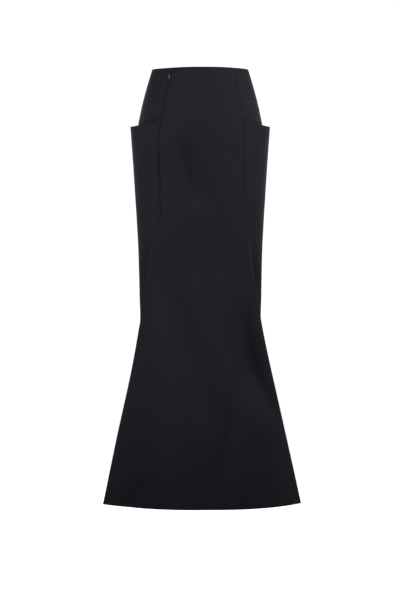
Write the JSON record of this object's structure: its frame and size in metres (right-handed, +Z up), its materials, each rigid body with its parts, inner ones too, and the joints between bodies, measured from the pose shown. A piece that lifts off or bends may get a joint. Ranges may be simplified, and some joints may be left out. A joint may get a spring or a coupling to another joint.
{
  "type": "column skirt",
  "caption": "Floor-length column skirt, filled out as worn, with princess seams, side pockets that stand away from the hips, a flared hem and a zip with a pull tab.",
  "frame": {"origin": "middle of the waist edge, where a wearer's waist holds the skirt", "axes": "+Z up, -Y out of the side with the zip, +X to the right of someone who faces that side"},
  "size_m": [0.5001, 0.4664, 1.101],
  "materials": {
    "skirt_cloth": "smooth matt blue-black suiting, close twill",
    "zip_tape": "woven black tape",
    "zip_slider_enamel": "dark satin enamel",
    "zip_tab_metal": "polished pale metal"
  },
  "bodies": {
    "skirt": {"front_panel": "skirt_cloth", "back_panel": "skirt_cloth", "side_panel_left": "skirt_cloth", "side_panel_right": "skirt_cloth", "hip_yoke_left": "skirt_cloth", "hip_yoke_right": "skirt_cloth", "zip_tape": "zip_tape", "zip_slider": "zip_slider_enamel"},
    "zip_tab": {"zip_tab": "zip_tab_metal"}
  },
  "joints": [
    {"name": "zip_tab_swing", "type": "hinge", "parent": "skirt", "child": "zip_tab", "pos_m": [-0.07676, -0.06513, -0.01538], "axis": [-0.7479, 0.6637, 0.016], "range_deg": [0, 120]}
  ]
}
